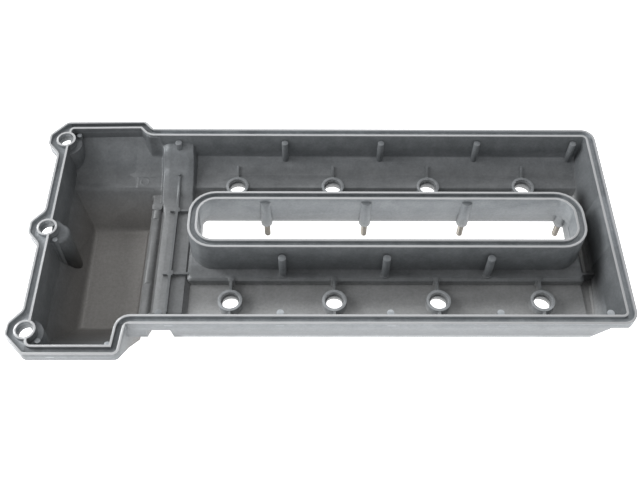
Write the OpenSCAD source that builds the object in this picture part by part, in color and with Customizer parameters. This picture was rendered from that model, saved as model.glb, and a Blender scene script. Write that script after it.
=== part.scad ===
// Valve cover of one bank of a vee engine, lying with its open gasket side up.
// X runs along the bank from the timing end, Y across it, Z up through the gasket rim.

/* [Cylinder bank] */
// Distance between neighbouring cylinders
cyl_pitch = 98; // [90:0.5:110]
// Cylinders in the bank
cyl_count = 4; // [3:1:6]
// Distance between the two rows of cover bolts
bolt_row_w = 136; // [130:0.5:142]
// Height of the gasket plane above the tops of the bolt bosses
rim_h = 36.7; // [32:0.1:42]

/* [Gasket rim] */
// Width of the main chamber across the rim
body_w = 226.4; // [222:0.2:236]
// From the last bolt boss to the end of the rim
end_reach = 70.4; // [66:0.2:76]
// Width of the whole rim
rim_w = 9.4; // [8.8:0.1:10.4]
// Width of each of the two lips
lip_w = 2.1; // [1.8:0.1:2.6]
// Depth of the gasket groove between the lips
groove_depth = 4; // [3:0.1:6]
// Corner radius of the rim at the plain end
corner_r = 13; // [11:0.5:16]
// Corner radius of the chamber floor at the plain end
floor_corner_r = 9; // [6:0.5:14]

/* [Main chamber] */
// Thickness of the casting
wall = 4.5; // [3.5:0.1:5]
// Depth of the chamber floor below the bolt boss tops
floor_depth = 10; // [8:0.2:12]
// Draft of the chamber walls, from the rim to their feet
wall_draft = 2.9; // [2:0.1:4]
// Draft of the outside of the long walls
outside_draft = 5.4; // [4:0.1:6]
// Height of the outside lower edge above the bolt boss tops
outside_edge_h = 2; // [0:0.1:4]
// Width of the outside slope below that edge
outside_slope_w = 14.5; // [12:0.1:16]
// Foot of the far wall above the bolt boss tops
shelf_h = 7.5; // [6:0.1:9]
// Width of the sloping far shelf
shelf_w = 18; // [15:0.1:20]
// Far shelf break below the bolt boss tops
ledge_drop = 0.5; // [0.2:0.1:1]
// Width of the flat far ledge
ledge_w = 16; // [14:0.1:17]
// Fall of the far ledge over its width
ledge_fall = 1; // [0.5:0.1:2]
// Width of the steep face below the ledge
ledge_face_w = 4; // [3:0.1:6]
// Foot of the near wall above the bolt boss tops
near_foot_h = 5; // [3:0.1:7]
// Width of the slope below the near wall
near_slope_w = 11; // [9:0.1:13]
// Draft of the plain end wall, inside
end_draft = 7.5; // [5:0.1:9]
// Width of the sunk channel at the plain end
end_channel_w = 11.5; // [9:0.1:13]
// Depth of that channel below the chamber floor
end_channel_depth = 2.5; // [1:0.1:3]

/* [Timing end] */
// From the first bolt boss to the outside of the timing end
timing_reach = 177.7; // [170:0.1:186]
// Far edge of the timing end
timing_far = 123.2; // [120:0.2:128]
// Fall of that edge towards its outer corner
far_edge_fall = 1.3; // [0:0.1:2]
// Near edge of the timing end
timing_near = 143.2; // [139:0.2:147]
// From the first bolt boss to the far neck of the rim
far_neck_reach = 85.5; // [82:0.2:88]
// From the first bolt boss to the near neck of the rim
near_neck_reach = 87; // [84:0.2:89]
// Depth of the timing pocket below the bolt boss tops
pocket_depth = 40; // [32:0.5:46]
// Height of the rim flange round the timing end
flange_h = 11; // [9:0.2:14]
// Distance between the three timing end bolts
timing_pitch = 109; // [106:0.2:112]
// Middle timing end bolt, towards the near side
timing_bolt_y = 10; // [6:0.2:14]
// From the outside of the timing end to the line of its bolts
timing_bolt_in = 5.7; // [4:0.1:8]
// Foot of the far wall of the timing end above the bolt boss tops
timing_shelf_h = 23.4; // [20:0.2:26]
// Foot of the near wall of the timing end above the bolt boss tops
timing_near_foot_h = 19; // [15:0.2:22]
// Far break of the timing end ledge
timing_break_y = 81.5; // [78:0.1:85]
// Edge of that ledge above the pocket
timing_edge_y = 64.5; // [60:0.1:68]

/* [Spark plug well] */
// From the first bolt boss to the timing end of the opening
well_first_reach = 31.5; // [29:0.1:34]
// From the last coil stud to the plain end of the opening
well_last_reach = 2; // [0.5:0.1:5]
// Width of the opening at the rim
well_w = 46.6; // [44:0.1:50]
// Widening of the opening on each side at its mouth
well_draft = 4.2; // [3:0.1:5]
// Width of the well wall at the rim, over both lips
well_rim_w = 9.2; // [8.6:0.1:10]
// Corner radius of the opening at the rim
well_corner_r = 16; // [12:0.5:20]
// Corner radius of its mouth
well_mouth_r = 5.5; // [4:0.5:8]
// Drop of the deck round the well below the bolt boss tops
deck_drop = 1; // [0.5:0.1:2]
// Width of the deck beside the well wall
deck_w = 11.2; // [9:0.1:13]
// Corner radius of the deck
deck_corner_r = 4; // [2:0.5:8]
// Rounding of its edge
deck_edge_r = 2.4; // [1:0.1:4]

/* [Coil studs] */
// Thread diameter of a coil stud
stud_d = 6; // [5:0.5:7]
// Length of a stud that stands out of its boss
stud_out = 16.6; // [14:0.1:20]
// Length of a stud inside its boss
stud_in = 12; // [8:0.5:16]
// Diameter of a stud boss
stud_boss_d = 11.4; // [10.4:0.1:12.4]
// From a cylinder's bolt boss to its stud
stud_shift = 31.5; // [28:0.1:35]
// From the opening's edge at the rim to the line of the studs
stud_line_in = 2.7; // [1.5:0.1:4.2]
// Drop of the stud boss ends below the bolt boss tops
stud_boss_drop = 9.3; // [8:0.1:14]
// How much smaller in radius a stud is inside its boss
stud_relief = 0.4; // [0.25:0.05:0.6]
// Clearance round a stud in its boss
stud_gap = 0.05; // [0.02:0.01:0.1]

/* [Bolt bosses] */
// Diameter of a bolt hole
bolt_hole_d = 15; // [12:0.1:16]
// Diameter of the widened mouth of a bolt hole
bolt_mouth_d = 17.5; // [16.5:0.1:18.5]
// Depth of that mouth
bolt_mouth_depth = 5; // [3:0.1:7]
// Diameter of a bolt boss
bolt_boss_d = 23; // [22:0.1:25]
// Diameter of a timing end bolt boss at the rim
timing_boss_d = 19; // [18:0.1:20]
// Diameter of the shoulder of a timing end boss
timing_shoulder_d = 28.5; // [26:0.1:30]
// Height of that shoulder above the main bolt boss tops
timing_shoulder_h = 28; // [27:0.1:30]
// Diameter of the bolt head recess outside, below a timing end boss
timing_recess_d = 20.5; // [18:0.1:21]
// Diameter of the recess outside, below a cover bolt boss
bolt_recess_d = 20; // [18:0.1:21]
// Height of the wall left in a bolt hole between its mouth and that recess
bolt_land_h = 3; // [2:0.1:5]

/* [Ribs and posts] */
// Thickness of a rib
rib_w = 2.4; // [2:0.1:3.5]
// Rise of the ribs over the surface they stand on
rib_rise = 2.7; // [1:0.1:4]
// Diameter of a wall post
post_d = 6.6; // [5:0.1:8]
// Tops of the wall posts below the gasket plane
post_drop = 5.4; // [4:0.1:8]
// Diameter of a small post in the timing end
small_post_d = 5; // [4:0.1:6]
// Diameter of a well post
well_post_d = 7.5; // [6:0.1:9]
// Tops of the well posts below the gasket plane
well_post_drop = 9.7; // [7:0.1:12]
// Width of the raised band between the chamber and the timing end
band_w = 30; // [26:0.5:33]
// From the first bolt boss to the near side of the band
band_reach = 45; // [42:0.5:48]
// Height of the band where it meets the long walls
band_wall_h = 24; // [20:0.5:27]
// Depth of the middle of the band below the bolt boss tops
band_mid_depth = 4.6; // [3:0.1:6]
// Width of the sloping foot of the band
band_foot_w = 5; // [3:0.1:8]
// Width of the round bar beside the band
bar_w = 9.6; // [8:0.2:11]
// Drop of the top of that bar below the bolt boss tops
bar_drop = 6; // [4:0.1:8]

/* [Hidden] */

// One overrun serves all cuts, one thin slice all hulls
cut = 0.5;
slice = 0.01;
round_steps = 7;
crease_steps = 3;
bore_sides = 64;
rod_sides = 40;
boss_sides = 56;

half_w = body_w / 2;
half_in = half_w - rim_w;
half_row = bolt_row_w / 2;
first_x = -(cyl_count - 1) / 2 * cyl_pitch;
last_x = -first_x;
end_x = last_x + end_reach;
timing_x = first_x - timing_reach;
far_neck_x = first_x - far_neck_reach;
near_neck_x = first_x - near_neck_reach;
timing_bolt_x = timing_x + timing_bolt_in;
band_x = first_x - band_reach;
bank_x = [for (i = [0:cyl_count - 1]) first_x + i * cyl_pitch];

// Rim round the timing end bolts
bump_reach = 16.9;
bump_tip_w = 13;
bump_base_w = 39;
bump_r = 8;
neck_r = 6;
near_neck_r = 4;
near_neck_lean = 1.3;
timing_corner_r = 6;
far_ramp = 8.5;
chamfer_far = [15.1, 17];
chamfer_near = [18.4, 18.4];
far_wall_r = 12;
near_wall_r = 14;
tip_x = timing_bolt_x - bump_reach;
timing_bolt_y_list = [for (i = [-1:1]) -timing_bolt_y + i * timing_pitch];

// The whole cover is set on the middle of its outer box
mid_x = (end_x + tip_x) / 2;
mid_y = (timing_far - timing_near) / 2;
base_z = pocket_depth + wall;

// Main chamber section, far side
foot_y = half_in - wall_draft;
break_y = foot_y - shelf_w;
edge_y = break_y - ledge_w;
toe_y = edge_y - ledge_face_w;
edge_z = -ledge_drop - ledge_fall;
// Main chamber section, near side
near_foot_y = half_in - wall_draft / 2;
near_toe_y = near_foot_y - near_slope_w;
outer_edge_y = half_w - outside_draft;
outer_toe_y = outer_edge_y - outside_slope_w;
lean_share = 0.75;
lean = wall * lean_share;
under_z = -floor_depth - wall;
crease_r = 3;
soft_r = 6;
neck_blend = [8, 5, 16];
neck_x = near_neck_x - neck_blend.x;
main_left_x = neck_x - wall;

// Plain end
end_foot_x = end_x - rim_w - end_draft;
end_channel_x = end_foot_x - end_channel_w;
end_outer_x = end_x - end_draft;

// Well
stud_x = [for (x = bank_x) x + stud_shift];
well_x1 = first_x - well_first_reach;
well_x2 = last_x + stud_shift + well_last_reach;
well_shift = (well_x1 + well_x2) / 2;
well_half = [(well_x2 - well_x1) / 2, well_w / 2];
well_outer = well_half + [well_rim_w, well_rim_w];
stud_boss_y = well_half.y + stud_line_in;
stud_relief_h = 0.3;
well_step_h = 10.5;
well_step_w = 0.7;
well_out_draft = 0.8;
mouth_reach = 0.5;
deck_z = -deck_drop;
deck_y = well_outer.y + deck_w;

// Timing pocket floor and its walls
pocket_left_run = 20.6;
pocket_right_run = 5.4;
pocket_side_run = 5;
pocket_left_x = timing_x + rim_w + pocket_left_run;
pocket_right_x = near_neck_x - pocket_right_run;
pocket_far_y = 36.9;
pocket_near_y = 76.2;
pocket_wall_foot = 1.6;
pocket_wall_draft = 1.7;
timing_edge_drop = 2;
timing_in_y = timing_far - rim_w;
timing_near_in = timing_near - rim_w;
neck_toe = [8, 25.2];
pocket_side_x = near_neck_x + pocket_side_run;

// Band and bar
band_left_x = band_x - band_w;
band_shares = [[0.97, 1], [0.875, 0.71], [0.83, 0.375], [0.67, 0.1], [0.56, 0]];
near_band_shares = [[0.97, 1], [0.93, 0.6], [0.88, 0.2], [0.83, 0]];
band_flat_share = 0.385;
near_flat_share = 0.76;
band_rib_share = 0.47;
bar_share = 0.6;
bar_x = band_left_x - bar_w * bar_share;
bar_far_y = 46;
bar_head = [10, 9];
bar_notch_y = [30.2, -46];
bar_notch_w = 1.8;
bar_notch_depth = 0.9;
band_rib_x = band_x - band_w * band_rib_share;
band_rib_far_y = 76;
band_edge_w = 8;
node_y = 37.5;
node_d = 6.4;
fin_len = 7;

// Posts stand between the cylinders, on the band and beyond the last cylinder
mid_bank_x = [for (i = [1:cyl_count - 1]) first_x + (i - 0.5) * cyl_pitch];
post_x = concat([band_rib_x], mid_bank_x, [last_x + cyl_pitch / 2]);
post_in = 4.8;
well_post_in = 2;
ring_rib_w = 11;
small_post_in = [[16.6, 14.4], [13.6, 143.7], [16.9, 250.1]];
small_post_z = 31;
neck_post = [13.1, 13];

// Plane geometry for outlines whose corners are given as [x, y, radius]
function unit(v) = v / norm(v);
function left_of(v) = [-v.y, v.x];
function turn(v, a) = [v.x * cos(a) - v.y * sin(a), v.x * sin(a) + v.y * cos(a)];
function flat(p) = [p.x, p.y];
function angle_between(u, v) = atan2(u.x * v.y - u.y * v.x, u.x * v.x + u.y * v.y);
// Corner b of an outline shifted inwards by d
function shifted(b, u, v, d) = flat(b) + d * (left_of(u) + left_of(v)) / (1 + left_of(u) * left_of(v));
// Arc of radius r in n steps that turns from direction u to direction v at corner c
function arc(c, u, v, r, n) =
    let (a = angle_between(u, v), side = sign(a), start = c - u * r * tan(abs(a) / 2))
    let (hub = start + left_of(u) * r * side)
    r <= 0 ? [c] : [for (k = [0:n]) hub + turn(start - hub, a * k / n)];
function rounded(corners, d, n = round_steps) = [
    for (i = [0:len(corners) - 1])
        let (a = corners[(i + len(corners) - 1) % len(corners)], b = corners[i])
        let (c = corners[(i + 1) % len(corners)], u = unit(flat(b) - flat(a)), v = unit(flat(c) - flat(b)))
        each arc(shifted(b, u, v, d), u, v, max(0, b.z - d * sign(angle_between(u, v))), n)
];

// Rim outline, anticlockwise from the near plain corner, with bumps for the timing end bolts
function main_corners() = [
    [end_x, -half_w, corner_r],
    [end_x, half_w, corner_r],
    [far_neck_x, half_w, neck_r],
    [far_neck_x - far_ramp, timing_far, neck_r]
];
function neck_corners() = [
    [near_neck_x - near_neck_lean, -timing_near, timing_corner_r],
    [near_neck_x + near_neck_lean, -half_w, near_neck_r]
];
function bump(y) = [
    [timing_x, y + bump_base_w / 2, bump_r],
    [tip_x, y + bump_tip_w / 2, bump_r],
    [tip_x, y - bump_tip_w / 2, bump_r],
    [timing_x, y - bump_base_w / 2, bump_r]
];
function first_bump(y) = [
    [tip_x + chamfer_far.x, timing_far - far_edge_fall, timing_corner_r],
    [tip_x, timing_far - far_edge_fall - chamfer_far.y, timing_corner_r],
    [tip_x, y - bump_tip_w / 2, bump_r],
    [timing_x, y - bump_base_w / 2, bump_r]
];
function last_bump(y) = [
    [timing_x, y + bump_base_w / 2, bump_r],
    [tip_x, y + bump_tip_w / 2, bump_r],
    [tip_x, chamfer_near.y - timing_near, timing_corner_r],
    [tip_x + chamfer_near.x, -timing_near, timing_corner_r]
];
rim_corners = concat(
    main_corners(),
    first_bump(timing_bolt_y_list[2]),
    bump(timing_bolt_y_list[1]),
    last_bump(timing_bolt_y_list[0]),
    neck_corners()
);
// Timing end of the same outline without the bumps, for the walls behind the rim
timing_corners = [
    [timing_x, timing_far - far_edge_fall, far_wall_r],
    [timing_x, -timing_near, near_wall_r]
];
wall_corners = concat(main_corners(), timing_corners, neck_corners());
// Plan of the timing end below the flange
pocket_corners = concat(
    [
        [near_neck_x + neck_toe.x, neck_toe.y - half_w, 0],
        [band_x, neck_toe.y - half_w, 0],
        [band_x, half_w, 0],
        [far_neck_x, half_w, neck_r],
        [far_neck_x - far_ramp, timing_far, neck_r]
    ],
    timing_corners,
    neck_corners()
);
// Rectangle from corner a to corner b, with radius r1 at its first and r2 at its second X
function box_corners(a, b, r1, r2) = [[b.x, a.y, r2], [b.x, b.y, r2], [a.x, b.y, r1], [a.x, a.y, r1]];
// Rounded rectangle of half sizes h about the middle of the well
function well_corners(h, r) = box_corners([well_shift - h.x, -h.y], [well_shift + h.x, h.y], r, r);

// A section drawn in Y and Z, carried along X
module along_x(x1, x2) {
    translate([x1, 0, 0]) rotate([90, 0, 90]) linear_extrude(height = x2 - x1) children();
}
// A section drawn in X and Z, carried along Y
module along_y(y1, y2) {
    translate([0, y2, 0]) rotate([90, 0, 0]) linear_extrude(height = y2 - y1) children();
}
// An outline drawn in X and Y, carried along Z
module along_z(z1, z2) {
    translate([0, 0, z1]) linear_extrude(height = z2 - z1) children();
}
// Thin slice of an outline at height z
module slice_at(z, corners) {
    along_z(z, z + slice) polygon(rounded(corners, 0));
}
// Drafted prism from one outline up to another
module drafted(z1, corners1, z2, corners2) {
    hull() {
        slice_at(z1, corners1);
        slice_at(z2 - slice, corners2);
    }
}
module rod(x, y, z1, z2, d, sides) {
    translate([x, y, z1]) cylinder(h = z2 - z1, d = d, $fn = sides);
}

// Outside of the main chamber: drafted walls, sloping shelf and floor
module main_outside() {
    intersection() {
        along_z(-base_z, rim_h)
            polygon(rounded(box_corners([main_left_x, -half_w], [end_x, half_w], 0, corner_r), 0));
        along_x(main_left_x, end_x + cut)
            polygon([
                [half_w, rim_h],
                [outer_edge_y, outside_edge_h],
                [break_y + lean, -ledge_drop - wall],
                [edge_y + lean, edge_z - wall],
                [toe_y + lean, under_z],
                [-outer_toe_y, under_z],
                [-outer_edge_y, outside_edge_h],
                [-half_w, rim_h]
            ]);
        along_y(-half_w - cut, half_w + cut)
            polygon([
                [end_x, rim_h],
                [end_outer_x, outside_edge_h],
                [end_foot_x - lean, under_z - end_channel_depth],
                [main_left_x, under_z - end_channel_depth],
                [main_left_x, rim_h]
            ]);
    }
}
// Room inside the main chamber
module main_inside() {
    intersection() {
        along_z(-base_z, rim_h + cut)
            polygon(rounded(
                box_corners([neck_x, -half_in], [end_x - rim_w, half_in], 0, corner_r - rim_w), 0
            ));
        along_x(neck_x, end_x)
            polygon(rounded([
                [half_in, rim_h + cut, 0],
                [half_in, rim_h, 0],
                [foot_y, shelf_h, crease_r],
                [break_y, -ledge_drop, crease_r],
                [edge_y, edge_z, crease_r / 2],
                [toe_y, -floor_depth, crease_r / 2],
                [-near_toe_y, -floor_depth, soft_r],
                [-near_foot_y, near_foot_h, crease_r],
                [-half_in, rim_h, 0],
                [-half_in, rim_h + cut, 0]
            ], 0, crease_steps));
        along_y(-half_w, half_w)
            polygon(rounded([
                [end_x - rim_w, rim_h + cut, 0],
                [end_x - rim_w, rim_h, 0],
                [end_foot_x, -floor_depth, crease_r],
                [near_neck_x + neck_blend.y, -floor_depth, 0],
                [neck_x, neck_blend.z, 0],
                [neck_x, rim_h + cut, 0]
            ], 0, crease_steps));
    }
}
// Sunk channel along the foot of the plain end wall
module end_channel() {
    along_x(end_channel_x, end_foot_x - cut)
        polygon([
            [toe_y - floor_corner_r, -floor_depth + cut],
            [toe_y - floor_corner_r - end_channel_depth, -floor_depth - end_channel_depth],
            [-near_toe_y + soft_r + end_channel_depth, -floor_depth - end_channel_depth],
            [-near_toe_y + soft_r, -floor_depth + cut]
        ]);
}

// Flange of the timing end
module timing_flange() {
    intersection() {
        along_z(rim_h - flange_h, rim_h) polygon(rounded(rim_corners, 0));
        along_z(rim_h - flange_h, rim_h)
            translate([tip_x - cut, -timing_near - cut])
                square([far_neck_x - tip_x + cut, timing_far + timing_near + 2 * cut]);
    }
}
// Walls and dome of the timing end below the flange
module timing_body() {
    intersection() {
        along_z(-base_z, rim_h - flange_h + cut) polygon(rounded(pocket_corners, rim_w - wall));
        along_x(timing_x, near_neck_x + neck_toe.x)
            polygon(rounded([
                [timing_far, rim_h, 0],
                [timing_in_y + wall, timing_shelf_h - wall / 2, soft_r],
                [timing_break_y + lean, -wall, 0],
                [timing_edge_y + lean, -timing_edge_drop - wall, 0],
                [pocket_far_y + lean, -pocket_depth - wall, soft_r],
                [-pocket_near_y - lean, -pocket_depth - wall, soft_r],
                [-timing_near_in - lean, timing_near_foot_h - lean, soft_r],
                [-timing_near, rim_h, 0]
            ], 0, crease_steps));
        along_y(-timing_near, timing_far)
            polygon(rounded([
                [timing_x, rim_h, 0],
                [timing_x + rim_w - lean, -pocket_wall_foot - lean, soft_r],
                [pocket_left_x - lean, -pocket_depth - wall, soft_r],
                [pocket_right_x + lean, -pocket_depth - wall, soft_r],
                [pocket_side_x, under_z, 0],
                [pocket_side_x, rim_h, 0]
            ], 0, crease_steps));
    }
}
// Room inside the timing end: shelf, slopes and the pocket floor
module timing_inside() {
    intersection() {
        along_z(-base_z, rim_h + cut) polygon(rounded(wall_corners, rim_w));
        along_x(timing_x, bar_x)
            polygon(rounded([
                [timing_in_y + cut, rim_h + cut, 0],
                [timing_in_y + cut, timing_shelf_h + cut, crease_r],
                [timing_break_y, 0, soft_r],
                [timing_edge_y, -timing_edge_drop, soft_r],
                [pocket_far_y, -pocket_depth, soft_r],
                [-pocket_near_y, -pocket_depth, soft_r],
                [-timing_near_in - cut, timing_near_foot_h + cut, crease_r],
                [-timing_near_in - cut, rim_h + cut, 0]
            ], 0, crease_steps));
        along_y(-timing_near, timing_far)
            polygon(rounded([
                [timing_x + rim_w - cut, rim_h + cut, 0],
                [timing_x + rim_w + pocket_wall_draft, -pocket_wall_foot, soft_r],
                [pocket_left_x, -pocket_depth, soft_r],
                [pocket_right_x, -pocket_depth, soft_r],
                [bar_x - bar_w / 2, -bar_drop - bar_w / 4, 0],
                [bar_x, -bar_drop - bar_w / 4, 0],
                [bar_x, rim_h + cut, 0]
            ], 0, crease_steps));
    }
}

// Floor left at the near neck, above the cut-back corner of the dome
module neck_fill() {
    run = unit(neck_toe);
    a = [near_neck_x, -half_w] + left_of(run) * rim_w;
    b = a + neck_toe;
    intersection() {
        along_z(-base_z, near_foot_h)
            polygon([a - run * soft_r, b, [band_left_x, b.y], [band_left_x, -half_w]]);
        translate([0, 0, -cut]) along_x(a.x - soft_r, band_left_x)
            polygon([
                [-near_foot_y, near_foot_h],
                [-near_toe_y, -floor_depth],
                [b.y + cut, -floor_depth],
                [b.y + cut, -base_z],
                [-half_w, -base_z],
                [-half_w, near_foot_h]
            ]);
    }
}

// Section of the raised band: its surface moved down by drop and out by out
function band_line(drop, out, mid_z) = concat(
    [for (s = band_shares) [half_in * s[0] + out, band_wall_h * s[1] - drop]],
    [[half_in * band_flat_share, mid_z - drop], [-half_in * near_flat_share, mid_z - drop]],
    [for (i = [len(near_band_shares) - 1:-1:0])
        [-half_in * near_band_shares[i][0] - out, band_wall_h * near_band_shares[i][1] - drop]]
);
module band_section(mid_z, drop, out) {
    polygon(concat(
        [[half_w + cut, band_wall_h - drop]],
        band_line(drop, out, mid_z),
        [[-half_w - cut, band_wall_h - drop], [-half_w - cut, -base_z], [half_w + cut, -base_z]]
    ));
}
module band() {
    top_z = rim_h - flange_h;
    intersection() {
        along_x(band_left_x - band_foot_w, band_x + band_foot_w) band_section(-band_mid_depth, 0, 0);
        along_y(-half_w, half_w)
            polygon(rounded([
                [band_x, top_z, crease_r],
                [band_left_x + crease_r / 2, top_z, crease_r],
                [band_left_x, -band_mid_depth, 0],
                [band_left_x - band_foot_w, -floor_depth, 0],
                [band_left_x - band_foot_w, under_z, 0],
                [band_x + band_foot_w, under_z, 0],
                [band_x + band_foot_w, -floor_depth, crease_r],
                [band_x, -band_mid_depth, crease_r]
            ], 0, crease_steps));
    }
}
// Rounded left edge of the middle of the band
module band_edge() {
    along_y(-half_in * near_flat_share, bar_far_y)
        polygon([
            [band_left_x - bar_w / 2, -bar_drop],
            [band_left_x - cut, -floor_depth],
            [band_left_x + band_edge_w / 3, -bar_drop],
            [band_left_x + band_edge_w, -band_mid_depth],
            [band_left_x + band_edge_w, 0],
            [band_left_x - bar_w / 2, 0]
        ]);
}
// The band shows outside as a recess
module band_recess() {
    intersection() {
        along_x(band_left_x, band_x) band_section(-band_mid_depth, wall, wall / 2);
        along_y(-half_w - cut, half_w + cut)
            polygon([
                [band_left_x + wall / 2, -base_z],
                [band_x - wall / 2, -base_z],
                [band_x - wall / 2, -floor_depth],
                [band_x - wall, band_wall_h],
                [band_left_x + wall, band_wall_h],
                [band_left_x + wall / 2, -floor_depth]
            ]);
    }
}
// Round bar beside the band, with a wider head and two notches
module bar() {
    top = -bar_drop;
    difference() {
        union() {
            along_y(-half_w, bar_far_y)
                translate([bar_x, top - bar_w / 2]) circle(d = bar_w, $fn = boss_sides);
            along_y(-half_w, bar_far_y)
                translate([bar_x - bar_w / 2, under_z]) square([bar_w, top - bar_w / 2 - under_z]);
            along_z(under_z, top + slice)
                polygon(rounded(box_corners(
                    [bar_x - bar_head.x / 2, bar_far_y - bar_head.y / 2],
                    [bar_x + bar_head.x / 2, bar_far_y + bar_head.y / 2],
                    crease_r, crease_r
                ), 0, crease_steps));
        }
        for (y = bar_notch_y)
            translate([bar_x - bar_w, y - bar_notch_w / 2, top - bar_notch_depth])
                cube([2 * bar_w, bar_notch_w, bar_w]);
    }
}

// Wall round the spark plug well, with a flat deck at its foot
module well_wall() {
    foot = well_outer + [well_out_draft, well_out_draft];
    deck = [foot.x, deck_y];
    edge = [deck_edge_r, deck_edge_r];
    drafted(under_z, well_corners(foot, well_corner_r + well_rim_w),
        rim_h, well_corners(well_outer, well_corner_r + well_rim_w));
    along_z(under_z, deck_z - deck_edge_r) polygon(rounded(well_corners(deck + edge / 2, deck_corner_r), 0));
    drafted(deck_z - deck_edge_r - slice, well_corners(deck + edge / 2, deck_corner_r),
        deck_z, well_corners(deck - edge / 2, deck_corner_r));
}
// Recess outside, below the deck
module deck_recess() {
    inner = [well_outer.x + well_out_draft - wall, deck_y - wall];
    along_z(-base_z, deck_z - wall) polygon(rounded(well_corners(inner, deck_corner_r), 0));
}
module well_opening() {
    step = well_half + [well_out_draft, well_draft / 3];
    wide = well_half + [mouth_reach, well_draft / 3 + well_step_w];
    mouth = well_half + [mouth_reach, well_draft];
    drafted(well_step_h, well_corners(step, well_corner_r),
        rim_h + slice, well_corners(well_half, well_corner_r));
    drafted(deck_z - wall - cut, well_corners(mouth, well_mouth_r),
        well_step_h + 2 * slice, well_corners(wide, well_mouth_r));
}
// The opening leaves the stud bosses standing on its far wall
module well_opening_cut() {
    difference() {
        well_opening();
        for (x = stud_x) stud_boss(x);
    }
}
module well_groove() {
    along_z(rim_h - groove_depth, rim_h + cut)
        difference() {
            polygon(rounded(well_corners(well_half, well_corner_r), lip_w - well_rim_w));
            polygon(rounded(well_corners(well_half, well_corner_r), -lip_w));
        }
}

// Gasket groove, which runs outside the timing end bolts
module rim_groove() {
    along_z(rim_h - groove_depth, rim_h + cut)
        difference() {
            polygon(rounded(rim_corners, lip_w));
            polygon(rounded(wall_corners, rim_w - lip_w));
            for (y = timing_bolt_y_list)
                translate([timing_bolt_x, y]) circle(d = timing_boss_d, $fn = boss_sides);
        }
}

// Cover bolt bosses, drilled, widened at the mouth and opened out from below
module bolt_boss(x, y) {
    rod(x, y, under_z, 0, bolt_boss_d, boss_sides);
}
module bolt_hole(x, y) {
    rod(x, y, -base_z, cut, bolt_hole_d, bore_sides);
    rod(x, y, -bolt_mouth_depth, cut, bolt_mouth_d, bore_sides);
    rod(x, y, -base_z, -bolt_mouth_depth - bolt_land_h, bolt_recess_d, bore_sides);
}
module rib_y(x, y1, y2, z) {
    along_z(under_z, z) translate([x - rib_w / 2, y1]) square([rib_w, y2 - y1]);
}
module rib_x(y, x1, x2, z) {
    along_z(under_z, z) translate([x1, y - rib_w / 2]) square([x2 - x1, rib_w]);
}
// Ribs from a row of bosses to the deck, to the near wall and up the far shelf
module boss_ribs(x) {
    near_out = half_row + bolt_boss_d / 2;
    near_in = half_row - bolt_boss_d / 2;
    rib_end = near_out + ring_rib_w;
    rib_y(x, -near_in - cut, -deck_y + cut, -ledge_drop);
    rod(x, -deck_y, under_z, -ledge_drop, node_d, rod_sides);
    rib_y(x, -near_toe_y - cut, -near_out + cut, -ledge_drop);
    along_x(x - rib_w / 2, x + rib_w / 2)
        polygon([
            [near_out - cut, under_z],
            [near_out - cut, -ledge_drop],
            [near_out + cut, rib_rise / 4],
            [rib_end, rib_rise * 2],
            [rib_end + rib_w, under_z]
        ]);
}

// Timing end bolt bosses: a ring on a wider shoulder, with a recess outside below them
module timing_boss(y) {
    rod(timing_bolt_x, y, timing_shoulder_h - cut, rim_h, timing_boss_d, boss_sides);
    rod(timing_bolt_x, y, -base_z, timing_shoulder_h, timing_shoulder_d, boss_sides);
}
module timing_hole(y) {
    rod(timing_bolt_x, y, -base_z, rim_h + cut, bolt_hole_d, bore_sides);
    rod(timing_bolt_x, y, -base_z, rim_h - flange_h, timing_recess_d, bore_sides);
}
// Small posts on the timing end walls, given from its outer corner and from the neck
module small_posts() {
    for (p = small_post_in)
        rod(timing_x + p.x, timing_far - p.y, -base_z, small_post_z, small_post_d, rod_sides);
    rod(near_neck_x - neck_post.x, neck_post.y - timing_near, -base_z, small_post_z, small_post_d, rod_sides);
}

// Round posts on the walls and beside the well
module wall_post(x, y) {
    rod(x, y, under_z, rim_h - post_drop, post_d, rod_sides);
}
module well_post(x) {
    y = well_outer.y + well_post_d / 2 + well_post_in;
    rod(x, -y, under_z, rim_h - well_post_drop, well_post_d, rod_sides);
    rod(x, -y, under_z, -deck_drop + rib_w / 2, well_post_d + rib_w, rod_sides);
    rib_y(x, -y, -well_outer.y, rim_h - well_post_drop - well_post_d);
}

// Rib along the band, with round nodes tied to the deck
module band_ribs() {
    deck_x = well_shift - well_outer.x;
    along_x(band_rib_x - rib_w / 2, band_rib_x + rib_w / 2)
        intersection() {
            band_section(-rib_rise, -rib_rise, 0);
            translate([-half_w, under_z]) square([half_w + band_rib_far_y, rim_h - under_z]);
        }
    rod(band_rib_x, band_rib_far_y, under_z, band_wall_h * band_shares[2][1], rib_w, rod_sides);
    for (y = [-node_y, node_y]) {
        rod(band_rib_x, y, under_z, 0, node_d, rod_sides);
        rib_x(y, band_rib_x - fin_len, deck_x, -deck_drop);
    }
    rib_x(-node_y, well_shift + well_outer.x - cut, end_foot_x + cut, deck_z);
}

// Bosses in the well wall that carry the coil studs
module stud_boss(x) {
    rod(x, stud_boss_y, -stud_boss_drop, rim_h - groove_depth - lip_w, stud_boss_d, boss_sides);
}
module stud_bore(x) {
    bore_d = stud_d - 2 * stud_relief + 2 * stud_gap;
    rod(x, stud_boss_y, -stud_boss_drop - cut, stud_in - stud_boss_drop, bore_d, bore_sides);
}

module set_on_base() {
    translate([-mid_x, -mid_y, base_z]) children();
}
module outside() {
    main_outside();
    timing_body();
    timing_flange();
}
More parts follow.
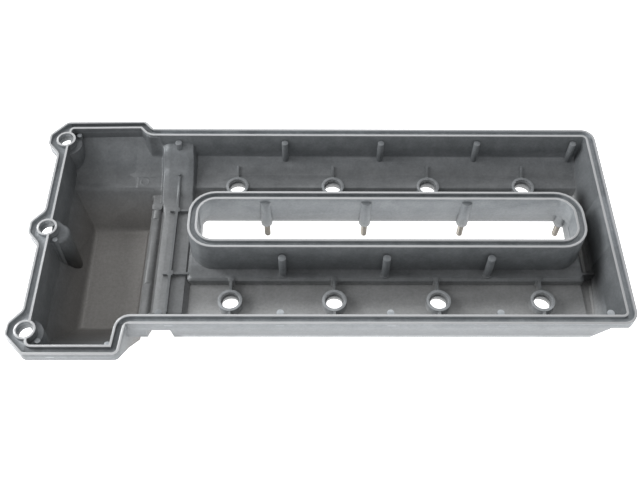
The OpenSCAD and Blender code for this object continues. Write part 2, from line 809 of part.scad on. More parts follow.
// Whatever stands in the rooms is left standing when they are cut from the outside
module rooms() {
    difference() {
        union() {
            main_inside();
            timing_inside();
            end_channel();
        }
        difference() {
            band();
            band_edge();
        }
        bar();
        neck_fill();
        well_wall();
        for (x = bank_x) boss_ribs(x);
        for (x = post_x, y = [-half_in + post_in, half_in - post_in]) wall_post(x, y);
        for (x = mid_bank_x) well_post(x);
        band_ribs();
        for (y = timing_bolt_y_list) timing_boss(y);
        small_posts();
    }
}
module cover_casting() {
    color("darkgray") set_on_base() difference() {
        union() {
            difference() {
                outside();
                rooms();
                band_recess();
            }
            for (x = bank_x, y = [-half_row, half_row]) bolt_boss(x, y);
        }
        deck_recess();
        well_opening_cut();
        well_groove();
        rim_groove();
        for (x = bank_x, y = [-half_row, half_row]) bolt_hole(x, y);
        for (y = timing_bolt_y_list) timing_hole(y);
        for (x = stud_x) stud_bore(x);
    }
}

// Threaded stud, its outer end rounded off
module coil_stud(i) {
    color("silver") set_on_base()
        translate([stud_x[i], stud_boss_y, -stud_boss_drop - stud_out])
            rotate_extrude($fn = bore_sides)
                polygon([
                    [0, 0],
                    [stud_d / 3, 0],
                    [stud_d / 2, stud_d / 5],
                    [stud_d / 2, stud_out - stud_relief_h],
                    [stud_d / 2 - stud_relief, stud_out - stud_relief_h],
                    [stud_d / 2 - stud_relief, stud_out + stud_in],
                    [0, stud_out + stud_in]
                ]);
}

cover_casting();
coil_stud(0);  // coil_stud_1
coil_stud(1);  // coil_stud_2
coil_stud(2);  // coil_stud_3
coil_stud(3);  // coil_stud_4
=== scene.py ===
"""Looks for the valve cover: a satin die casting with brighter gasket lips and four threaded coil studs.
Pieces are in metres in the part's own frame: X along the bank, Y across it, Z up through the open side."""
import math
import operator
from functools import reduce

import bmesh
import bpy
from mathutils import Matrix, Vector


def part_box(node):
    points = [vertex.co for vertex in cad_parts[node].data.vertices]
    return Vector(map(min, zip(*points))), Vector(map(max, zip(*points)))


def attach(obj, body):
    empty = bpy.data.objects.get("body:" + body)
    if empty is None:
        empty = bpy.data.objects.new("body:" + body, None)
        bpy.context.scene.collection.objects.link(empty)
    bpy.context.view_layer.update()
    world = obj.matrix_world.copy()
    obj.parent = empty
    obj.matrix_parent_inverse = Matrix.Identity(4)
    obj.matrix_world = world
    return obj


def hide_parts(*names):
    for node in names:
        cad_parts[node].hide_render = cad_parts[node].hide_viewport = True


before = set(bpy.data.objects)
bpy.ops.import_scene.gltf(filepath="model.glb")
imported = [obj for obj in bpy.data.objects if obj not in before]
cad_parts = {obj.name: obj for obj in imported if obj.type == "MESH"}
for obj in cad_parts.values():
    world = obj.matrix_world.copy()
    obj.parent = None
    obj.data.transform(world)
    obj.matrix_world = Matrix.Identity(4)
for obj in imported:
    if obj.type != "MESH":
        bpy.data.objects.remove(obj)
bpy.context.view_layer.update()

MM = 0.001
STUDS = ["coil_stud_1", "coil_stud_2", "coil_stud_3", "coil_stud_4"]

# Camera of the photograph, solved from the bolt pattern; its angles are in degrees, its lens in millimetres
CAMERA_PLACE = (-9.71 * MM, -462.95 * MM, 733.51 * MM)
CAMERA_PITCH = 55.495
CAMERA_YAW = 0.805
CAMERA_ROLL = 0.765
CAMERA_LENS = 47.82
SENSOR_WIDTH = 36.0

# Middle of the bolt pattern in the part's frame; the sections and places below are in millimetres from it
BANK_MIDDLE = (59.25, 10.0, 44.5)
BOLT_PITCH = 98.0
GASKET_LINE = 36.7

# Edges of the casting: rounding, least angle in degrees of a rounded edge, most angle within one flat face
EDGE_ROUNDING = 0.7 * MM
EDGE_ANGLE = 32
FLAT_ANGLE = 0.5
MERGE_REACH = 0.01 * MM

# Rim's outer corner at the plain end, heights of the flange's foot, the outside lower edge and the underside
PLAIN_END = (217.4, 113.2)
FLANGE_FOOT = 26.0
FLANGE_STEP = 0.4
LOW_EDGE = 2.0
UNDERSIDE = -14.5
# How far the end and the side come in from the gasket line to the lower edge, and from there to the underside
LEAN = (7.5, 5.4)
LEAN_BELOW = (12.8, 14.5)
# Radius of the wall's corner, how far its curve reaches from the rim's corner and which faces belong to it
CORNER_TURN = 27.0
CORNER_REACH = (34.0, 32.0)
CORNER_FACES = (34.0, 24.0)
OUTWARD = 0.4

# Sections across the bank, as places and heights. The timing end's far side, from the pocket to the wall
TIMING_LINE = [(20.0, -62.0), (36.9, -40.0), (64.5, -2.0), (81.5, 0.0), (113.8, 23.4), (130.0, 35.2)]
# The main chamber's far side
CHAMBER_LINE = [(20.0, -10.0), (62.9, -10.0), (66.9, -1.5), (82.9, -0.5), (100.9, 7.5), (130.0, 12.0)]
# The top of the raised band where it climbs the far wall
BAND_LINE = [(20.0, -4.6), (40.0, -4.6), (58.1, 0.0), (69.5, 2.4), (86.2, 9.0), (90.8, 17.0), (100.7, 24.0)]
# Section along the bank: the rounded left edge of the band, as a fall below its top
EDGE_LINE = [(-240.0, -8.0), (-222.3, -7.5), (-219.3, -1.4), (-214.0, 0.0), (-150.0, 0.0)]
# How far each line's corners are rounded
TIMING_SOFT = 3.5
CHAMBER_SOFT = 2.0
BAND_SOFT = 5.0
EDGE_SOFT = 1.5
SOFT_STEPS = 6

# The soft neck: its area, its grid and the height at which the pocket's own slope takes over
NECK_AREA = ((-262.0, -186.0), (21.0, 108.0))
NECK_STEP = 0.6
NECK_LOWEST = -13.0
# Depth below the casting's face at its borders, and what it rises from there to lie over the shelf
NECK_SUNK = 0.4
NECK_COVER = 0.55
COVER_LEFT = -248.0
COVER_RIGHT = (-239.0, -235.0)
COVER_FAR = (60.0, 69.0)
# Foot of the far wall left of the neck, what it comes in by, and where; the hollow between shelf and wall
WALL_FOOT = 113.8
WALL_JOG = 10.0
WALL_JOG_X = (-247.5, -235.0)
FOOT_JOG = 5.4
FOOT_JOG_X = (-247.0, -234.0)
HOLLOW_START = 1.5
HOLLOW_SIZE = 2.5
HOLLOW_RISE = 4.6
WALL_TOP = 35.0
# Level ground between the pocket and the band
BAND_FOOT = -7.4
BAND_FOOT_X = (-235.0, -232.0)
# Band: left and right side, each from its foot to its top, and what the left one moves by lower down
BAND_SIDES = ((-225.4, -221.7), (-188.6, -192.3))
BAND_SPLIT = -205.0
LEFT_SHIFT = (2.8, 0.9)
LOWER_PART = (52.0, 44.0)
EDGE_PART = (50.0, 24.0)
# Swell of the band's top between its rounded sides, and where it grows towards the far wall
SWELL_SIDES = ((-222.4, -216.0), (-191.6, -198.0))
SWELL = 0.5
SWELL_FAR = 0.9
SWELL_FAR_Y = (74.0, 84.0)
LIFT_NEAR = 0.6
LIFT_NEAR_Y = (24.0, 34.0)
LIFT_FAR = 0.5
LIFT_FAR_Y = (48.0, 64.0)
# Where the neck dives under the casting, as depth, limits across and limits along: beside the bar's head,
# right of the middle rib, and at its lower end
DIVES = [
    (2.4, (45.5, 43.5), (-220.5, -222.0)),
    (0.9, (62.0, 50.0), (-207.0, -205.4)),
    (0.3, (28.0, 21.0), None),
]

# Plain pad on the timing shelf, with its soft borders, and the plain ring on it
PAD_LEFT = -250.2
PAD_Y = (66.4, 79.0)
PAD_HEIGHT = 0.4
PAD_SOFT_X = 0.4
PAD_SOFT_NEAR = 1.0
PAD_SOFT_FAR = 0.5
RING_MIDDLE = (-242.2, 73.4)
RING_RADIUS = 4.1
RING_HEIGHT = 0.3
RING_SOFT = (1.2, 0.2)

# Column under the middle timing bolt, cut off just inside the wall and the slope that it stands against
COLUMN_MIDDLE = (-311.0, -10.4)
COLUMN_RADIUS = 11.2
COLUMN_HEIGHTS = (-44.0, 28.2)
COLUMN_ROUNDING = 4.0
COLUMN_SIDES = 48
COLUMN_CUTS = [((-317.0, 0.0, 0.0), (-1.0, 0.0, 0.0)), ((-313.6, 0.0, -4.0), (-38.4, 0.0, -18.9))]

# Thread of the coil studs
THREAD_PITCH = 1.0 * MM
THREAD_DEPTH = 0.55 * MM
THREAD_STEPS = 28
THREAD_SPARE = 2
THREAD_MERGE = 0.005 * MM
STUD_CHAMFER = 0.9 * MM
CHAMFER_SLOPE = 1.1

# Linear colours of the finishes
ALLOY_DARK = (0.153, 0.164, 0.173, 1.0)
ALLOY_LIGHT = (0.235, 0.247, 0.258, 1.0)
DEPTH_DARK = (0.170, 0.160, 0.150, 1.0)
DEPTH_LIGHT = (0.215, 0.205, 0.193, 1.0)
LIP_COLOR = (0.53, 0.54, 0.55, 1.0)
STEEL_DARK = (0.42, 0.385, 0.34, 1.0)
STEEL_LIGHT = (0.68, 0.645, 0.59, 1.0)
FLOOR_COLOR = (0.94, 0.94, 0.94, 1.0)
WHITE = (1.0, 1.0, 1.0, 1.0)

# Tone of the casting by place, as its strength and its limits on the axes. Two limits are where it begins and
# where it is full, four add where it starts to fade and where it is gone. "pitch" is the way along the bank
# from the nearest line midway between two bolts, so it is half the bolt pitch at a bolt
CHAMBER_X = (-190.0, -184.0)
# Painted highlight on the flat tops of the near posts
POST_TOP_HIGHLIGHT = {"pitch": (3.9, 3.6), "y": (-95.3, -95.6), "z": (31.0, 31.2, 31.5, 31.8)}
# Painted highlight on the flat tops of the timing pegs
PEG_TOP_HIGHLIGHT = {"x": (-313.8, -313.6, -242.0, -241.0), "z": (30.8, 30.95, 31.1, 31.3)}
BOLT_RINGS = {"pitch": (36.0, 36.6), "x": (-175.0, -170.0), "z": (-0.35, -0.1, 0.2, 0.4)}
TONES = {
    "chamber floor": (0.28, {"x": CHAMBER_X, "z": (-3.0, -8.0)}),
    # Painted bounce light on the near floor, lighter towards the near wall
    "painted bounce light on the near floor": (0.9, {"x": CHAMBER_X, "y": (-60.0, -82.0), "z": (9.0, 4.0)}),
    "well": (0.3, {"x": CHAMBER_X, "y": (-30.0, -27.0, 28.5, 30.5)}),
    "pocket floor": (0.4, {"z": (-34.0, -39.0)}),
    "timing shelf": (-0.2, {"x": (-222.0, -232.0), "y": (50.0, 66.0)}),
    # Painted shade on the pocket's left slope
    "painted shade on the pocket left slope": (-0.12, {"x": (-285.0, -300.0), "z": (20.0, 8.0)}),
    # Painted highlights on the flat tops of the near posts and of the timing pegs
    "painted highlight on the near post tops": (1.1, POST_TOP_HIGHLIGHT),
    "painted highlight on the timing peg tops": (0.8, PEG_TOP_HIGHLIGHT),
    "near bolt rings": (0.9, {**BOLT_RINGS, "y": (-80.6, -80.0, -56.0, -55.4)}),
    "far bolt rings": (0.9, {**BOLT_RINGS, "y": (55.4, 56.0, 80.0, 80.6)}),
}
# Painted shade in the corner by the plain end and on the pocket's near slope, laid over the painted shade of
# the walls
# Painted shade in the corner between the well and the plain end
SHADED_END_CORNER = {"x": (186.0, 196.0), "y": (-62.0, -40.0, 44.0, 66.0), "z": (26.0, 2.0)}
PAINTED_SHADES = {
    "painted shade in the corner between well and plain end": (-0.76, SHADED_END_CORNER),
    # Painted shade on the pocket's near slope
    "painted shade on the pocket near slope": (-0.14, {"x": (-236.0, -242.0), "y": (-84.0, -90.0), "z": (-6.0, -12.0)}),
}
# Painted light in the gasket groove of the rim, where the lips shade it: its strength, its heights, and its
# place on the near side, far side, plain end and timing end
GROOVE_PAINTED_LIGHT = 0.6
GROOVE_HEIGHTS = {"z": (32.2, 32.6, 36.1, 36.5)}
GROOVE_SIDES = [
    {"y": (-111.8, -111.4, -106.0, -105.5)},
    {"y": (105.5, 106.0, 111.4, 111.8)},
    {"x": (209.6, 210.1, 215.5, 216.0)},
    {"x": (-317.0, -317.5)},
]

# Painted shade that darkens the walls right of the timing end towards their feet: tone at the foot, what it
# gains up the wall and down to the floor
WALL_SHADE_X = (-232.0, -222.0)
WALL_FOOT_SHADE = 0.84
WALL_RISE = (-1.0, 30.0)
WALL_LIGHT = 0.34
WALL_END = (0.0, -3.0)
FLOOR_LIGHT = 0.16
# Least and most tone, and the speckle that varies it
TONE_RANGE = (0.14, 3.0)
SPECKLE_LOW = 0.75
SPECKLE_SPAN = 0.5
# Heights between which the casting turns from clean to brown, and between which the gasket lips turn bright
BROWN_DEPTH = (10.0, -30.0)
LIP_HEIGHTS = (GASKET_LINE - 0.6, GASKET_LINE - 0.15)

# Studio: name, place, size in metres and power in watts of each soft light
LIGHTS = [
    ("light_left", (-1.5, 0.2, 1.0), 1.0, 27.0),
    ("light_far", (0.0, 1.4, 1.1), 1.2, 4.0),
    ("light_low", (0.0, -1.8, 0.25), 0.8, 4.5),
]
LIGHT_TARGET = (0.0, 0.0, 0.03)
AIR_LIGHT = 0.62
FLOOR_SIZE = 60.0
FLOOR_GLOW = 1.2


class Wire:
    """A shader socket with arithmetic: each operator adds the Math node that it stands for."""

    def __init__(self, shader, socket):
        self.shader = shader
        self.socket = socket

    def _math(self, operation, *values):
        return self.shader.node("ShaderNodeMath", {"operation": operation}, dict(enumerate(values)))

    def __add__(self, other):
        return self._math("ADD", self, other)

    def __radd__(self, other):
        return self._math("ADD", other, self)

    def __sub__(self, other):
        return self._math("SUBTRACT", self, other)

    def __rsub__(self, other):
        return self._math("SUBTRACT", other, self)

    def __mul__(self, other):
        return self._math("MULTIPLY", self, other)

    def __rmul__(self, other):
        return self._math("MULTIPLY", other, self)

    def clamped_to(self, low, high):
        return self.shader.node("ShaderNodeClamp", {}, {"Value": self, "Min": low, "Max": high})

    def between(self, low, high):
        """0 at low, 1 at high, smooth between them; high may be the smaller."""
        return self.shader.node(
            "ShaderNodeMapRange",
            {"interpolation_type": "SMOOTHSTEP"},
            {"Value": self, "From Min": low, "From Max": high},
        )

    def within(self, limits):
        """A smooth mask from two limits, or from four that also end it."""
        mask = self.between(*limits[:2])
        if len(limits) == 4:
            mask = mask * self.between(*reversed(limits[2:]))
        return mask


class Shader:
    """A node material. node() adds any node from its settings and then the values or wires of its sockets."""

    def __init__(self, name):
        self.material = bpy.data.materials.new(name)
        self.material.use_nodes = True
        self.tree = self.material.node_tree
        self.surface = self.tree.nodes["Principled BSDF"]

    def node(self, kind, settings, sockets, output=0):
        made = self.tree.nodes.new(kind)
        for key, value in settings.items():
            setattr(made, key, value)
        for key, value in sockets.items():
            self.feed(made.inputs[key], value)
        return Wire(self, made.outputs[output])

    def feed(self, socket, value):
        if isinstance(value, Wire):
            self.tree.links.new(value.socket, socket)
        else:
            socket.default_value = value

    def set(self, **sockets):
        for key, value in sockets.items():
            self.feed(self.surface.inputs[key.replace("_", " ")], value)

    def place(self):
        return self.node("ShaderNodeTexCoord", {}, {}, "Object")

    def axes(self):
        """Millimetres from the bolt pattern's middle, and along the bank from midway between two bolts."""
        parts = self.node("ShaderNodeSeparateXYZ", {}, {"Vector": self.place()}).socket.node.outputs
        x, y, z = [(Wire(self, part) * (1 / MM)) - middle for part, middle in zip(parts, BANK_MIDDLE)]
        pitch = self.node("ShaderNodeMath", {"operation": "PINGPONG"}, {0: x, 1: BOLT_PITCH / 2})
        return {"x": x, "y": y, "z": z, "pitch": pitch}

    def noise(self, scale, detail, roughness):
        return self.node(
            "ShaderNodeTexNoise",
            {},
            {"Vector": self.place(), "Scale": scale, "Detail": detail, "Roughness": roughness},
        )

    def mix(self, factor, low, high, blend="MIX"):
        made = self.tree.nodes.new("ShaderNodeMix")
        made.data_type = "RGBA"
        made.blend_type = blend
        # A Mix node has sockets for every kind of value; these are the factor, the two colours and the result
        for index, value in ((0, factor), (6, low), (7, high)):
            self.feed(made.inputs[index], value)
        return Wire(self, made.outputs[2])

    def bump(self, height, strength, distance):
        return self.node("ShaderNodeBump", {}, {"Height": height, "Strength": strength, "Distance": distance})


def place_mask(axes, limits):
    """1 at a place of the casting that the limits on its axes describe, 0 elsewhere."""
    return reduce(operator.mul, [axes[axis].within(limit) for axis, limit in limits.items()])


def toned(tone, axes, places):
    """A tone that each of the places makes lighter or darker by its strength."""
    for strength, limits in places.values():
        tone = tone + place_mask(axes, limits) * strength
    return tone


def casting_tone(axes, speckle):
    """Lighter chamber floor, well, pocket floor and bolt ring tops, darker timing shelf, painted highlights
    on the post and peg tops, painted bounce light on the near floor and in the groove, painted shade on the
    pocket's slopes, in the corner by the plain end and towards the feet of the walls.
    """
    z = axes["z"]
    tone = toned(1.0, axes, TONES)
    edge = reduce(operator.add, [place_mask(axes, side) for side in GROOVE_SIDES]).clamped_to(0.0, 1.0)
    # Painted light in the gasket groove, where the lips shade it
    tone = tone + place_mask(axes, GROOVE_HEIGHTS) * edge * GROOVE_PAINTED_LIGHT
    # Painted shade: the walls darker towards their feet
    painted_wall_shade = z.between(*WALL_RISE) * WALL_LIGHT + z.between(*WALL_END) * FLOOR_LIGHT + WALL_FOOT_SHADE
    tone = tone * (1.0 + (painted_wall_shade - 1.0) * axes["x"].between(*WALL_SHADE_X))
    return toned(tone, axes, PAINTED_SHADES).clamped_to(*TONE_RANGE) * (SPECKLE_LOW + speckle * SPECKLE_SPAN)


def cast_alloy():
    """As-cast light alloy: fine grain, soft flow marks, browner in the depth, brighter on the gasket lips."""
    shader = Shader("cast_alloy")
    axes = shader.axes()
    grain = shader.noise(scale=2600.0, detail=3.0, roughness=0.6)
    speckle = shader.noise(scale=380.0, detail=3.0, roughness=0.7)
    mottle = shader.noise(scale=70.0, detail=4.0, roughness=0.62)
    flow = shader.noise(scale=14.0, detail=3.0, roughness=0.5)
    clean = shader.mix((mottle - 0.35) * 1.6, ALLOY_DARK, ALLOY_LIGHT)
    deep = shader.mix((flow - 0.3) * 1.8, DEPTH_DARK, DEPTH_LIGHT)
    body = shader.mix(axes["z"].between(*BROWN_DEPTH) * 0.8, clean, deep)
    # The tone by place carries painted light and painted shade
    body = shader.mix(1.0, body, casting_tone(axes, speckle), "MULTIPLY")
    lip = axes["z"].between(*LIP_HEIGHTS)
    shader.set(
        Base_Color=shader.mix(lip * 0.85, body, LIP_COLOR),
        Metallic=0.35,
        Roughness=0.5 + (mottle - 0.5) * 0.22 - lip * 0.12,
        Normal=shader.bump(grain + speckle * 1.5 + mottle, strength=0.35, distance=0.2 * MM),
    )
    return shader.material


def stud_steel():
    """Plain threaded steel, slightly warm, with a fine random speckle."""
    shader = Shader("stud_steel")
    speck = shader.noise(scale=900.0, detail=3.0, roughness=0.6)
    shader.set(
        Base_Color=shader.mix((speck - 0.3) * 1.5, STEEL_DARK, STEEL_LIGHT),
        Metallic=0.6,
        Roughness=0.4 + (speck - 0.5) * 0.25,
        Normal=shader.bump(speck, strength=0.15, distance=0.05 * MM),
    )
    return shader.material


def pale_floor():
    """Plain white studio paper that glows a little."""
    shader = Shader("pale_floor")
    shader.set(Base_Color=FLOOR_COLOR, Roughness=0.9, Emission_Color=WHITE, Emission_Strength=FLOOR_GLOW)
    return shader.material


def from_middle(point):
    """A place in metres from one in millimetres from the middle of the bolt pattern."""
    return (Vector(point) + Vector(BANK_MIDDLE)) * MM


def placed(work, name, material):
    """An object at the origin that holds a finished bmesh."""
    mesh = bpy.data.meshes.new(name)
    work.to_mesh(mesh)
    work.free()
    mesh.materials.append(material)
    made = bpy.data.objects.new(name, mesh)
    bpy.context.scene.collection.objects.link(made)
    return made


def finished(work, name, material, smooth_below=math.inf):
    """A piece of the cover. Faces with fewer corners than smooth_below are shaded smooth."""
    piece = placed(work, name, material)
    for face in piece.data.polygons:
        face.use_smooth = len(face.vertices) < smooth_below
    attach(piece, "root")
    return piece


def cut_off(work, point, normal):
    """Cuts away what lies beyond a plane and closes the opening."""
    geom = work.verts[:] + work.edges[:] + work.faces[:]
    cut = bmesh.ops.bisect_plane(work, geom=geom, plane_co=point, plane_no=normal, clear_outer=True)
    rim = [e for e in cut["geom_cut"] if isinstance(e, bmesh.types.BMEdge)]
    bmesh.ops.contextual_create(work, geom=rim)


def casting(material):
    """The casting with its edges rounded as a mould leaves them."""
    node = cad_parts["cover_casting"]
    work = bmesh.new()
    work.from_mesh(node.data)
    bmesh.ops.remove_doubles(work, verts=work.verts, dist=MERGE_REACH)
    bmesh.ops.dissolve_limit(
        work,
        angle_limit=math.radians(FLAT_ANGLE),
        use_dissolve_boundaries=False,
        verts=work.verts,
        edges=work.edges,
    )
    for side in (-1, 1):
        set_back_corner(work, side)
    piece = finished(work, "valve_cover_casting", material)
    bevel = piece.modifiers.new("cast_edges", "BEVEL")
    bevel.width = EDGE_ROUNDING
    bevel.segments = 2
    bevel.limit_method = "ANGLE"
    bevel.angle_limit = math.radians(EDGE_ANGLE)
    bevel.use_clamp_overlap = True
    bevel.harden_normals = True
    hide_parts("cover_casting")
    return piece


def set_back_corner(work, side):
    """The rim stands out over the wall at the plain end's corners, where the wall turns in a wider curve."""
    end_x, half_w = PLAIN_END
    middle = Vector(BANK_MIDDLE) * MM
    for height in (FLANGE_FOOT + FLANGE_STEP, FLANGE_FOOT):
        slice_outside(work, side, (0, 0, height), (0, 0, 1))
    slice_outside(work, side, (end_x - CORNER_REACH[0], 0, 0), (1, 0, 0))
    slice_outside(work, side, (0, side * (half_w - CORNER_REACH[1]), 0), (0, 1, 0))
    for vert in work.verts:
        x, y, z = (vert.co - middle) / MM
        if z > FLANGE_FOOT + FLANGE_STEP / 4 or side * y < 0:
            continue
        drop = min(1.0, (GASKET_LINE - z) / (GASKET_LINE - LOW_EDGE))
        below = max(0.0, (LOW_EDGE - z) / (LOW_EDGE - UNDERSIDE))
        end = end_x - LEAN[0] * drop - LEAN_BELOW[0] * below
        half = half_w - LEAN[1] * drop - LEAN_BELOW[1] * below
        out = Vector((x - end + CORNER_TURN, side * y - half + CORNER_TURN))
        if out.x > 0 and out.y > 0 and out.length > CORNER_TURN:
            out *= CORNER_TURN / out.length
            vert.co.x = middle.x + (end - CORNER_TURN + out.x) * MM
            vert.co.y = middle.y + side * (half - CORNER_TURN + out.y) * MM


def slice_outside(work, side, point, normal):
    """Cuts the outer faces of one corner of the plain end along a plane."""
    middle = Vector(BANK_MIDDLE) * MM
    chosen = []
    for face in work.faces:
        most_x = max((v.co.x - middle.x) / MM for v in face.verts)
        most_y = max(side * (v.co.y - middle.y) / MM for v in face.verts)
        outer = face.normal.x > OUTWARD or side * face.normal.y > OUTWARD
        if outer and most_x > PLAIN_END[0] - CORNER_FACES[0] and most_y > PLAIN_END[1] - CORNER_FACES[1]:
            chosen.append(face)
    verts = dict.fromkeys(v for f in chosen for v in f.verts)
    edges = dict.fromkeys(e for f in chosen for e in f.edges)
    plane_co = middle + Vector(point) * MM
    bmesh.ops.bisect_plane(work, geom=[*verts, *edges, *chosen], plane_co=plane_co, plane_no=normal)


def eased(low, high, at):
    """0 at low, 1 at high, smooth between them; high may be the smaller."""
    share = min(1.0, max(0.0, (at - low) / (high - low)))
    return share * share * (3 - 2 * share)


def line_height(line, at):
    """Height of a section line at one place, straight between its points."""
    for (y1, z1), (y2, z2) in zip(line, line[1:]):
        if at <= y2:
            return z1 + (z2 - z1) * (at - y1) / (y2 - y1)
    return line[-1][1]


def soft_line(line, at, reach):
    """Height of a section line at one place, averaged over its surroundings, which rounds its corners."""
    steps = range(-SOFT_STEPS, SOFT_STEPS + 1)
    return sum(line_height(line, at + reach * i / SOFT_STEPS) for i in steps) / len(steps)


def pad_height(x, y):
    """What the plain pad and its ring stand above the timing shelf."""
    near, far = PAD_Y
    pad = eased(PAD_LEFT - PAD_SOFT_X, PAD_LEFT + PAD_SOFT_X, x)
    pad *= eased(near - PAD_SOFT_NEAR, near + PAD_SOFT_NEAR, y)
    pad *= eased(far + PAD_SOFT_FAR, far - PAD_SOFT_FAR, y)
    away = abs(math.dist((x, y), RING_MIDDLE) - RING_RADIUS)
    return PAD_HEIGHT * pad + RING_HEIGHT * eased(*RING_SOFT, away)


def shelf_height(x, y):
    """The timing end's far shelf, which meets the far wall in a hollow and the band on level ground."""
    foot = WALL_FOOT - WALL_JOG * eased(*WALL_JOG_X, x) - FOOT_JOG * eased(*FOOT_JOG_X, x)
    over = max(0.0, y - foot + HOLLOW_START)
    shelf = soft_line(TIMING_LINE, min(y, foot), TIMING_SOFT)
    shelf = min(WALL_TOP, shelf + HOLLOW_RISE * over * over / (over + HOLLOW_SIZE))
    shelf += max(0.0, BAND_FOOT - shelf) * eased(*BAND_FOOT_X, x)
    cover = max(eased(*COVER_FAR, y), eased(*COVER_RIGHT, x)) * eased(NECK_AREA[0][0], COVER_LEFT, x)
    return shelf + pad_height(x, y) + NECK_COVER * cover - NECK_SUNK


def band_height(x, y):
    """The band's top, which swells a little between its sides; its left edge falls away lower down."""
    swell = eased(*SWELL_SIDES[0], x) * eased(*SWELL_SIDES[1], x)
    top = soft_line(BAND_LINE, y, BAND_SOFT) - NECK_SUNK + LIFT_NEAR * eased(*LIFT_NEAR_Y, y)
    top += eased(*LIFT_FAR_Y, y) * (LIFT_FAR + swell * (SWELL + SWELL_FAR * eased(*SWELL_FAR_Y, y)))
    return top + soft_line(EDGE_LINE, x, EDGE_SOFT) * eased(*EDGE_PART, y)


def neck_height(x, y):
    """Height of the casting's inside between the timing end's far shelf and the foot of the band."""
    top = band_height(x, y)
    if x < BAND_SPLIT:
        beside = shelf_height(x, y)
        lower = eased(*LOWER_PART, y)
        foot, edge = (place + shift * lower for place, shift in zip(BAND_SIDES[0], LEFT_SHIFT))
    else:
        beside = soft_line(CHAMBER_LINE, y, CHAMBER_SOFT) - NECK_SUNK
        foot, edge = BAND_SIDES[1]
    height = beside + (top - beside) * eased(foot, edge, x)
    for depth, across, along in DIVES:
        height -= depth * eased(*across, y) * (eased(*along, x) if along else 1.0)
    return height


def neck_blend(material):
    """Soft transition between the far shelf of the timing end, the neck of the wall and the band."""
    (x1, x2), (y1, y2) = NECK_AREA
    work = bmesh.new()
    columns, rows = round((x2 - x1) / NECK_STEP), round((y2 - y1) / NECK_STEP)
    bmesh.ops.create_grid(work, x_segments=columns, y_segments=rows, size=0.5)
    for vert in work.verts:
        x = x1 + (x2 - x1) * (vert.co.x + 0.5)
        y = y1 + (y2 - y1) * (vert.co.y + 0.5)
        vert.co = from_middle((x, y, neck_height(x, y)))
    lowest = from_middle((0, 0, NECK_LOWEST)).z
    bmesh.ops.delete(work, geom=[v for v in work.verts if v.co.z < lowest], context="VERTS")
    return finished(work, "neck_blend", material)


def timing_column(material):
    """Round column under the middle timing bolt boss, down to the slope of the pocket."""
    low, high = COLUMN_HEIGHTS
    radius = COLUMN_RADIUS * MM
    work = bmesh.new()
    bmesh.ops.create_cone(
        work, cap_ends=True, segments=COLUMN_SIDES, radius1=radius, radius2=radius, depth=(high - low) * MM
    )
    top = [e for e in work.edges if all(v.co.z > 0 for v in e.verts)]
    bmesh.ops.bevel(
        work, geom=top, offset=COLUMN_ROUNDING * MM, segments=5, profile=0.5, affect="EDGES", material=-1
    )
    bmesh.ops.translate(work, verts=work.verts, vec=from_middle((*COLUMN_MIDDLE, (low + high) / 2)))
    for point, normal in COLUMN_CUTS:
        cut_off(work, from_middle(point), normal)
    bmesh.ops.recalc_face_normals(work, faces=work.faces)
    return finished(work, "timing_column", material, smooth_below=8)


def threaded_stud(node_name, material):
    """A stud with a true thread, turned by spinning a zigzag edge once round while it climbs one pitch."""
    low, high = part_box(node_name)
    radius = (high.x - low.x) / 2
    middle = (low + high) / 2
    turns = math.ceil((high.z - low.z) / THREAD_PITCH) + THREAD_SPARE
    work = bmesh.new()
    verts = []
    for i in range(2 * turns + 1):
        reach = radius - (THREAD_DEPTH if i % 2 else 0.0)
        verts.append(work.verts.new((reach, 0.0, low.z + (i / 2 - THREAD_SPARE) * THREAD_PITCH)))
    edges = [work.edges.new(pair) for pair in zip(verts, verts[1:])]
    bmesh.ops.spin(
        work,
        geom=verts + edges,
        cent=(0, 0, 0),
        axis=(0, 0, 1),
        dvec=(0, 0, THREAD_PITCH / THREAD_STEPS),
        angle=math.tau,
        steps=THREAD_STEPS,
        use_merge=False,
        use_duplicate=False,
    )
    bmesh.ops.remove_doubles(work, verts=work.verts, dist=THREAD_MERGE)
    cut_off(work, (0, 0, low.z), (0, 0, -1))
    cut_off(work, (0, 0, high.z), (0, 0, 1))
    chamfer_foot(work, low.z, radius)
    bmesh.ops.recalc_face_normals(work, faces=work.faces)
    bmesh.ops.translate(work, verts=work.verts, vec=(middle.x, middle.y, 0))
    piece = finished(work, node_name + "_threaded", material, smooth_below=0)
    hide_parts(node_name)
    return piece


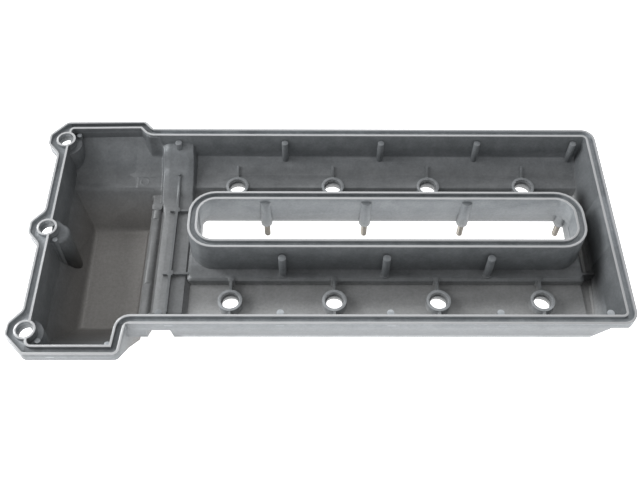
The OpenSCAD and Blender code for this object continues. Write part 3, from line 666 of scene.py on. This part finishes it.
def chamfer_foot(work, foot, radius):
    """Draws the last turns of a thread in towards its axis."""
    for vert in work.verts:
        over = foot + STUD_CHAMFER - vert.co.z
        reach = math.hypot(vert.co.x, vert.co.y)
        most = radius - over * CHAMFER_SLOPE
        if over > 0 and reach > most:
            vert.co.x *= most / reach
            vert.co.y *= most / reach


def studio():
    """A pale floor that glows a little, soft air, a broad light from the left and two weak ones."""
    view = bpy.context.scene.view_settings
    view.view_transform = "Standard"
    view.look = "None"
    work = bmesh.new()
    bmesh.ops.create_grid(work, x_segments=1, y_segments=1, size=FLOOR_SIZE)
    placed(work, "studio_floor", pale_floor())

    world = bpy.data.worlds.new("studio_air")
    world.use_nodes = True
    air = world.node_tree.nodes["Background"]
    air.inputs["Color"].default_value = WHITE
    air.inputs["Strength"].default_value = AIR_LIGHT
    bpy.context.scene.world = world
    for light in LIGHTS:
        soft_light(*light)


def soft_light(name, place, size, power):
    data = bpy.data.lights.new(name, "AREA")
    data.shape = "SQUARE"
    data.size = size
    data.energy = power
    light = bpy.data.objects.new(name, data)
    light.location = place
    light.rotation_euler = (Vector(LIGHT_TARGET) - Vector(place)).to_track_quat("-Z", "Y").to_euler()
    bpy.context.scene.collection.objects.link(light)


def photo_camera():
    """The camera of the photograph."""
    pitch = math.radians(CAMERA_PITCH)
    yaw = math.radians(CAMERA_YAW)
    roll = math.radians(CAMERA_ROLL)
    ahead = Vector((math.sin(yaw) * math.cos(pitch), math.cos(yaw) * math.cos(pitch), -math.sin(pitch)))
    level = Vector((math.cos(yaw), -math.sin(yaw), 0.0))
    upright = level.cross(ahead)
    right = math.cos(roll) * level + math.sin(roll) * upright
    up = math.cos(roll) * upright - math.sin(roll) * level
    data = bpy.data.cameras.new("photo_camera")
    data.lens = CAMERA_LENS
    data.sensor_width = SENSOR_WIDTH
    camera = bpy.data.objects.new("photo_camera", data)
    turn = Matrix((right, up, -ahead)).transposed()
    camera.matrix_world = Matrix.Translation(CAMERA_PLACE) @ turn.to_4x4()
    bpy.context.scene.collection.objects.link(camera)
    bpy.context.scene.camera = camera


alloy = cast_alloy()
steel = stud_steel()
casting(alloy)
neck_blend(alloy)
timing_column(alloy)
for stud in STUDS:
    threaded_stud(stud, steel)
studio()
photo_camera()
